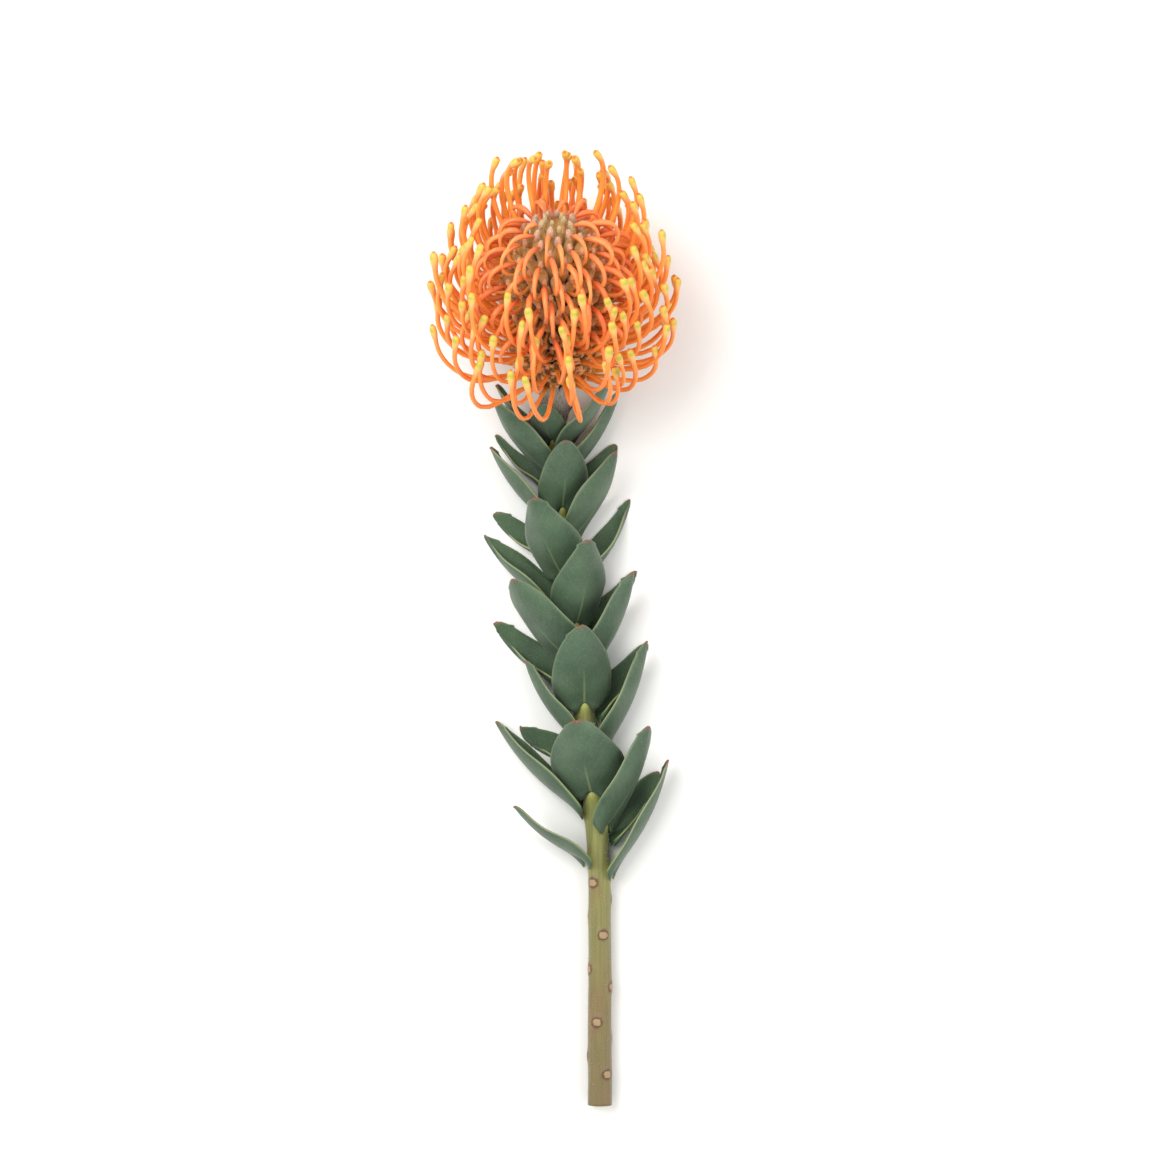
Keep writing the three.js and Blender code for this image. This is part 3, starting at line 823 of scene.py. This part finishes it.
tube_mesh = tube_form(TUBE_SIDES, TUBE_STEPS)
form, copies = copies_of(tube_mesh, FLORETS)
along_paint = []
tone_paint = []
down_roots = []
for flower, vertices in zip(florets, copies):
    index = flower["index"]
    whole = OPEN_TUBE if flower["stage"] == "open" else 1.0
    girth = (0.85 + 0.25 * draw(index, 41)) * (0.75 if flower["stage"] == "bud" else 1)
    shares = [whole * step / (TUBE_STEPS - 1) for step in range(TUBE_STEPS)]
    radii = [girth * float(np.interp(share, TUBE_PLACES, TUBE_GIRTH)) * MM for share in shares]
    outs = [share * flower["reach"] for share in shares]
    if whole < 1:
        outs[-2] += BELOW_RIM
        outs.append(outs[-1] - THROAT)
        radii.append(radii[-1] * 0.6)
        # painted shade: the end sunk into an opened tube takes the ramp's dark brown
        end_or_throat_shade_paint = 1.0
    else:
        outs.append(outs[-1] + TUBE_CAP)
        radii.append(radii[-1] * 0.5)
        end_or_throat_shade_paint = 0.9
    for vertex in vertices:
        x, y, height = vertex.co
        ring = round(height * TUBE_STEPS)
        out = outs[ring]
        if ring == TUBE_STEPS - 1:
            out -= RAGGED * draw(index, 44 + round(3 * x) + round(3 * y))
        vertex.co = on_table(floret_point(flower, out, x * radii[ring], y * radii[ring]))
        along_paint.append(shares[ring] if ring < TUBE_STEPS else end_or_throat_shade_paint)
        tone_paint.append(draw(index, 42))
    for number in range(TUBE_HAIRS):
        key = index * TUBE_HAIRS + number
        ring = FIRST_HAIR_RING + int((TUBE_STEPS - FIRST_HAIR_RING) * draw(key, 45))
        turn = 2 * pi * draw(key, 46)
        x, y = radii[ring] * cos(turn), radii[ring] * sin(turn)
        root = floret_point(flower, outs[ring], x, y)
        tip = floret_point(flower, outs[ring] + HAIR_RISE, x * HAIR_SPREAD, y * HAIR_SPREAD)
        down_roots.append((root, (tip - root) * (0.6 + 0.6 * draw(key, 47))))
bmesh.ops.reverse_faces(form, faces=form.faces)  # because floret_point mirrors the copies
tubes = made("floret_tubes", form, tube_skin)
painted(tubes, along=along_paint, tone=tone_paint)
painted_rounds(tubes, tube_mesh, florets)
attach(tubes, "root")
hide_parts("flower_head")

# The loops: the styles of florets that haven't opened. Each bows out of a slit in its tube, away
# from the bloom's top, and bends back to the tube's end, which still holds its thickened tip.
LOOP_SIDES = 6
LOOP_STEPS = 16
STYLE_LEVEL = 0.22 * MM
STYLE_EASE = 0.8 * MM
LOOP_RADIUS = 0.92 * MM
LOOP_SLIT = 0.5  # where along its tube it comes out
LOOP_HOLD = 2 * MM  # how far past the tube's end its tip is held
LOOP_OFF = 0.5 * MM  # both ends, from the tube's middle
LOOP_BOWS = [(5 * MM, 24 * MM), (12 * MM, 13 * MM)]  # past the slit or the tip, and off the tube
LOOP_SWING = 12 * MM  # the most between two loops that lean to either side
LOOP_TIP = {"starts": 0.66, "grows_over": 0.24, "swell": 0.5}  # the swell is of its radius


def loop_line(flower):
    """The points along a loop: it is longer on older florets, and its points crowd at its ends."""
    grown_share = 0.55 + 0.45 * smooth((flower["age"] - 0.01) / 0.04)
    size = grown_share * (0.8 + 0.45 * draw(flower["index"], 8))
    beside = LOOP_SWING * size * (draw(flower["index"], 9) - 0.5)
    end = flower["reach"] + LOOP_HOLD
    start = LOOP_SLIT * flower["reach"]
    bows = [
        floret_point(flower, place + past * size, off * size, beside)
        for place, (past, off) in zip((start, end), LOOP_BOWS)
    ]
    ends = [floret_point(flower, place, LOOP_OFF) for place in (start, end)]
    corners = [ends[0], *bows, ends[1]]
    line = []
    for step in range(LOOP_STEPS + 1):
        even = step / LOOP_STEPS
        share = even + 0.07 * sin(2 * pi * even)
        rest = 1 - share
        weights = (rest ** 3, 3 * rest ** 2 * share, 3 * rest * share ** 2, share ** 3)
        point = sum((corner * weight for corner, weight in zip(corners, weights)), Vector())
        point.z = rest_on(STYLE_LEVEL, point.z, STYLE_EASE)
        line.append(point)
    return line


def waxy(tree):
    """Light passes a little way into the styles."""
    shader = tree.nodes[SHADER]
    shader.inputs["Subsurface Weight"].default_value = 0.15
    shader.inputs["Subsurface Radius"].default_value = (1.0, 0.4, 0.15)
    shader.inputs["Subsurface Scale"].default_value = 1.5 * MM


loop_skin, tree = finish("loop_skin", 0.38, 0.5)
loop_colour = toned(tree, 0.35, (238, 108, 46), (252, 178, 92), [
    (0.0, 206, 154, 64), (0.2, 250, 156, 70), (0.6, 250, 150, 84), (0.85, 244, 116, 54),
    (1.0, 224, 78, 36),
])
# painted highlights: pale streaks along each loop lighten its colour; the same noise gives its
# relief
loop_relief_and_highlights = grain_and_highlight_streaks(tree, 1.4, 6.0)
lit = mixed(tree, times(tree, loop_relief_and_highlights, 0.3), loop_colour, tint(255, 184, 118))
waxy(tree)
skin(tree, lit, loop_relief_and_highlights, depth=0.1 * MM, strength=0.3)

loop_mesh = tube_form(LOOP_SIDES, LOOP_STEPS)
form, copies = copies_of(loop_mesh, len(looped))
heights = [vertex.co.z for vertex in loop_mesh.vertices]
tone_paint = []
for flower, vertices in zip(looped, copies):
    line = loop_line(flower)
    thick = LOOP_RADIUS * (0.92 + 0.2 * draw(flower["index"], 51))
    thick *= 0.8 + 0.2 * smooth(flower["age"] / 0.1)
    radii = []
    for step in range(LOOP_STEPS + 1):
        swell = smooth((step / LOOP_STEPS - LOOP_TIP["starts"]) / LOOP_TIP["grows_over"])
        radii.append(thick * (1 + LOOP_TIP["swell"] * swell))
    radii[-1] *= 0.5
    bend_along(vertices, line, radii, flower["across"])
    tone_paint += [draw(flower["index"], 52)] * len(heights)
turn_out(form)
loops = made("looped_styles", form, loop_skin)
painted(loops, along=heights * len(looped), tone=tone_paint)
painted_rounds(loops, loop_mesh, looped)
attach(loops, "root")
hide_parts("flower_head")

# The closed ends of unopened florets: small hoods, pinkish brown under white hair, that grip the
# loops' tips. The youngest, in the middle of the top, are bare and olive.
HOOD_LENGTH = 2.6 * MM  # half of a hood
HOOD_RADIUS = 1.5 * MM
HOOD_TAPER = 0.18
HOOD_SEAT = (1.6 * MM, -1.3 * MM)  # past the tube's end, and off it away from the loop
HOOD_AIM = (4 * MM, -3 * MM)  # where its tip points
BUD_SEAT = 0.5 * MM
HOOD_HAIRS = 36

hood_skin, tree = finish("hood_skin", 0.7, sheen=0.6)
hood_colour = ramp(tree, "age", [
    (0.01, 182, 158, 62), (0.04, 204, 150, 102), (0.1, 226, 150, 96), (0.2, 236, 160, 80),
    (0.6, 228, 160, 74),
])
furry = rising(tree, noise(tree, 1500, detail=4), 0.38, 0.66)
fur_share = ramp(tree, "age", [(0.03, 170, 170, 170), (0.2, 90, 90, 90)])
furred = mixed(tree, times(tree, furry, fur_share), hood_colour, tint(244, 214, 204))
skin(tree, furred, furry, depth=0.3 * MM, strength=0.8)

form = bmesh.new()
bmesh.ops.create_uvsphere(form, u_segments=8, v_segments=5, radius=1)
form, copies = copies_of(mesh_of("hood_form", form), len(closed))
age_paint = []
for flower, vertices in zip(closed, copies):
    index = flower["index"]
    young = flower["stage"] == "bud"
    if young:
        place = floret_point(flower, flower["reach"] + BUD_SEAT, 0)
        along = (place - floret_point(flower, 0, 0)).normalized()
    else:
        place = floret_point(flower, flower["reach"] + HOOD_SEAT[0], HOOD_SEAT[1])
        aim = floret_point(flower, flower["reach"] + HOOD_AIM[0], HOOD_AIM[1])
        along = (aim - place).normalized()
    grown = 0.75 if young else 1 - 0.22 * smooth(flower["age"] / 0.2)
    size = grown * (0.85 + 0.3 * draw(index, 61))
    second = along.cross(flower["across"]).normalized()
    for vertex in vertices:
        x, y, z = vertex.co * size
        sideways = (flower["across"] * x + second * y) * (HOOD_RADIUS * (1 - HOOD_TAPER * z))
        vertex.co = on_table(place + along * (z * HOOD_LENGTH) + sideways)
    age_paint += [flower["age"]] * len(vertices)
    for number in range(0 if young else HOOD_HAIRS):
        key = index * HOOD_HAIRS + number
        turn = 2 * pi * draw(key, 62)
        level = -0.5 + 1.4 * draw(key, 63)
        ring = sqrt(max(1 - level ** 2, 0))
        sideways = (flower["across"] * cos(turn) + second * sin(turn)) * ring
        root = place + along * (level * HOOD_LENGTH * size) + sideways * HOOD_RADIUS * size * 0.9
        growth = (sideways + along * (level + 1.0) + UP * 0.2).normalized()
        down_roots.append((root, growth * (0.8 + 1.1 * draw(key, 64)) * MM))
turn_out(form)
hoods = made("floret_hoods", form, hood_skin)
painted(hoods, age=age_paint)
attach(hoods, "root")
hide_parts("flower_head")

# The split ends of opened florets: narrow strips of each tube, rolled back on themselves round
# its mouth, beige at their foot and pinker where they roll in, with white hair on their rims.
STRIPS = 3  # of each floret
STRIP_SIDES = 6
STRIP_STEPS = 11
STRIP_HALF_WIDTH = 0.9 * MM
STRIP_THICKNESS = 0.26 * MM  # half of it
STRIP_APART = {"turn": 84, "scatter": 40}  # degrees round the tube's mouth
MOUTH_SCATTER = 2.2 * MM
STRIP_GAP = 1.5 * MM  # from the tube's middle
STRIP_DRIFT = 2.6 * MM  # the most between two strips that curl to either side
ROLL_RADIUS = 2.1 * MM
ROLL_TURN = radians(330)
RIM_HAIRS = 9

strip_skin, tree = finish("strip_skin", 0.55, sheen=0.3)
strip_colour = toned(tree, 0.4, (196, 100, 60), (246, 198, 122), [
    (0.0, 206, 160, 78), (0.35, 232, 164, 92), (0.7, 234, 142, 96), (1.0, 204, 108, 90),
])
strip_specks = noise(tree, 1500)
speckled = mixed(tree, times(tree, strip_specks, 0.35), strip_colour, tint(150, 78, 40))
skin(tree, speckled, strip_specks, depth=0.2 * MM, strength=0.5)


def strip_point(flower, number, share, column, layer):
    """A point of one of a floret's strips: its place along it, across it and through it."""
    key = flower["index"] * STRIPS + number
    scatter = STRIP_APART["scatter"] * (draw(key, 71) - 0.5)
    side = pi + radians(STRIP_APART["turn"] * (number - 1) + scatter)
    roll = ROLL_RADIUS * (0.75 + 0.5 * draw(key, 72))
    turned = ROLL_TURN * (0.75 + 0.4 * draw(key, 73)) * share
    tight = roll * (1 - 0.5 * share)
    coil = tight + layer * STRIP_THICKNESS
    away = STRIP_GAP + roll - coil * cos(turned)
    mouth = OPEN_TUBE * flower["reach"] + MOUTH_SCATTER * (draw(key, 74) - 0.3)
    out = mouth + coil * sin(turned)
    drift = STRIP_DRIFT * share * (draw(key, 79) - 0.5)
    half = STRIP_HALF_WIDTH * (1.2 - 0.9 * share) * column + drift
    off = away * cos(side) - half * sin(side)
    beside = away * sin(side) + half * cos(side)
    return on_table(floret_point(flower, out, off, beside))


strip_mesh = tube_form(STRIP_SIDES, STRIP_STEPS)
form, copies = copies_of(strip_mesh, STRIPS * len(opened))
along_paint = []
tone_paint = []
for copy, vertices in enumerate(copies):
    flower, number = opened[copy // STRIPS], copy % STRIPS
    for vertex in vertices:
        column, layer, share = vertex.co
        vertex.co = strip_point(flower, number, share, column, layer)
        along_paint.append(share)
        tone_paint.append(draw(copy, 75))
    for hair in range(RIM_HAIRS):
        key = copy * RIM_HAIRS + hair
        share = 0.3 + 0.7 * draw(key, 76)
        side = 1 if draw(key, 77) > 0.5 else -1
        root = strip_point(flower, number, share, side, 0)
        growth = (root - strip_point(flower, number, share, 0, 4)).normalized()
        down_roots.append((root, growth * (0.8 + 1.0 * draw(key, 78)) * MM))
turn_out(form)
strips = made("rolled_strips", form, strip_skin)
painted(strips, along=along_paint, tone=tone_paint)
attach(strips, "root")
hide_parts("flower_head")

# The florets' down: fine white hairs that grew on the tubes, on the hoods and on the rims of the
# rolled strips. The sections above have listed their roots.
DOWN_RADIUS = 0.045 * MM

floret_down = hairs("floret_down", down_roots, DOWN_RADIUS, down)
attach(floret_down, "root")
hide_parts("flower_head")

# The open styles: long waxy orange pins that spread like a fountain and hook over before their
# tips. Each swells at its end into a cream pollen club, lime-green on its outer side: one growth.
STYLE_LENGTH = 69 * MM
LENGTH_SCATTER = 10 * MM
TIP_LEAN = {"all": -38, "old": 42, "facing": -26, "behind": -14, "scatter": 34}  # degrees
START_SCATTER = 8  # degrees, as the next two
SAG = {"all": 4, "old": 8, "facing": 18}
SWING = {"all": 3, "scatter": 18}  # sideways
STYLE_SIDES = 8
STYLE_STEPS = 24
SHAFT_STATIONS = [0, 6, 10, 12, 14, 15, 16, 17, 18, 19, 20, 21]  # the rest is the club's
STYLE_RADIUS = 1.0 * MM
CLUB_RADIUS = 1.8 * MM
CLUB_GIRTH = [0.12, 0.45, 0.86, 1.0, 0.98, 0.78, 0.25]  # of what it adds, step by step
CLUB_END = 0.65 * MM  # the radius of its flat end


def style_line(flower):
    """The points along a style: it leaves its tube, sags a little and hooks over to its tip's lean.
    Facing and behind are 1 on the bloom's upper side and its underside, and 0 at its flanks."""
    index, age, around = flower["index"], flower["age"], flower["around"]
    length = STYLE_LENGTH + LENGTH_SCATTER * (draw(index, 4) - 0.5)
    oldest = smooth((age - 0.6) / 0.4)
    facing = max(sin(around), 0) * oldest
    behind = max(-sin(around), 0)
    lean = TIP_LEAN["all"] + TIP_LEAN["old"] * age
    lean += TIP_LEAN["facing"] * facing + TIP_LEAN["behind"] * behind
    tip_lean = radians(lean + TIP_LEAN["scatter"] * (draw(index, 5) - 0.5))
    start = flower["lean"] + radians(START_SCATTER * (draw(index, 6) - 0.5))
    sag = radians(SAG["all"] + SAG["old"] * oldest + SAG["facing"] * facing)
    swing = radians(SWING["all"] + SWING["scatter"] * (draw(index, 7) - 0.5))
    off, up = flower["off"], flower["up"]
    line = []
    for step in range(STYLE_STEPS + 1):
        share = step / STYLE_STEPS
        point = head_point(off, up, around + swing * share ** 2)
        point.z = rest_on(STYLE_LEVEL, point.z, STYLE_EASE)
        line.append(point)
        hook = share_of((share - 0.22 - 0.1 * behind) / 0.62) ** 2.3
        angle = start + sag * sin(pi * share_of(share / 0.6)) + (tip_lean - start) * hook
        off += sin(angle) * length / STYLE_STEPS
        up += cos(angle) * length / STYLE_STEPS
    return line


style_skin, tree = finish("style_skin", 0.38, 0.5)
style_colour = toned(tree, 0.5, (240, 104, 38), (252, 176, 62), [
    (0.0, 150, 160, 48), (0.16, 214, 160, 54), (0.35, 246, 150, 52), (0.62, 252, 140, 50),
    (0.85, 248, 122, 52), (1.0, 250, 146, 80),
])
# painted highlights: pale streaks along each style lighten its colour
style_highlight_streaks = grain_and_highlight_streaks(tree, 1.4, 14.0)
shaft_colour_with_highlights = mixed(tree, times(tree, style_highlight_streaks, 0.3), style_colour, tint(255, 184, 100))
club_colour = ramp(tree, "club", [
    (0.0, 250, 146, 80), (0.3, 248, 170, 98), (0.55, 244, 192, 108), (0.93, 234, 186, 62),
    (1.0, 214, 88, 34),
])
limed = mixed(tree, "lime", club_colour, tint(164, 172, 34))
pollen = noise(tree, 2600)
dusted = mixed(tree, times(tree, pollen, 0.25), limed, tint(250, 208, 120))
into_club = rising(tree, "club", 0.0, 0.22)
joined = mixed(tree, into_club, shaft_colour_with_highlights, dusted)
waxy(tree)
skin(tree, joined, pollen, depth=0.1 * MM, strength=0.35)

shaft_steps = len(SHAFT_STATIONS) - 1
club_steps = len(CLUB_GIRTH)
style_mesh = tube_form(STYLE_SIDES, shaft_steps + club_steps)
form, copies = copies_of(style_mesh, len(opened))
rings = [round(vertex.co.z * (shaft_steps + club_steps)) for vertex in style_mesh.vertices]
stations = SHAFT_STATIONS + SHAFT_STATIONS[-1:] * club_steps
along_shaft = [stations[ring] / SHAFT_STATIONS[-1] for ring in rings]
along_club = [max(ring - shaft_steps, 0) / club_steps for ring in rings]
tone_paint = []
lime_paint = []
for flower, vertices in zip(opened, copies):
    index = flower["index"]
    line = style_line(flower)
    shaft = [line[station] for station in SHAFT_STATIONS]
    tip = line[SHAFT_STATIONS[-1]:]
    behind = share_of(0.5 - 0.5 * sin(flower["around"]))
    thick = STYLE_RADIUS * (0.9 + 0.2 * draw(index, 81)) * (1 + 0.2 * behind)
    radii = [thick * (0.95 + 0.12 * station / STYLE_STEPS) for station in SHAFT_STATIONS]
    swell = CLUB_RADIUS * (0.88 + 0.24 * draw(index, 91)) - radii[-1]
    for step, girth in enumerate(CLUB_GIRTH, start=1):
        place = step / club_steps * (len(tip) - 1)
        near = min(int(place), len(tip) - 2)
        shaft.append(tip[near].lerp(tip[near + 1], place - near))
        radii.append(radii[shaft_steps] + swell * girth)
    radii[-1] = CLUB_END
    for vertex, club in zip(vertices, along_club):
        outer = smooth((-vertex.co.x - 0.1) / 0.7)
        lime_paint.append(outer * exp(-((club - 0.74) / 0.17) ** 2))  # a band near its end
    bend_along(vertices, shaft, radii, flower["across"])
    # painted light: styles on the bloom's underside, its back fan, are toned lighter and more
    # golden, the way they look lit; the rest of the tone differs at random
    tone = share_of(0.3 + 0.65 * behind + 0.3 * (draw(index, 82) - 0.5))
    tone_paint += [tone] * len(rings)
turn_out(form)
styles = made("open_styles", form, style_skin)
painted(styles, along=along_shaft * len(opened), club=along_club * len(opened))
painted(styles, lime=lime_paint, tone=tone_paint)
painted_rounds(styles, style_mesh, opened)
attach(styles, "root")
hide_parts("flower_head")
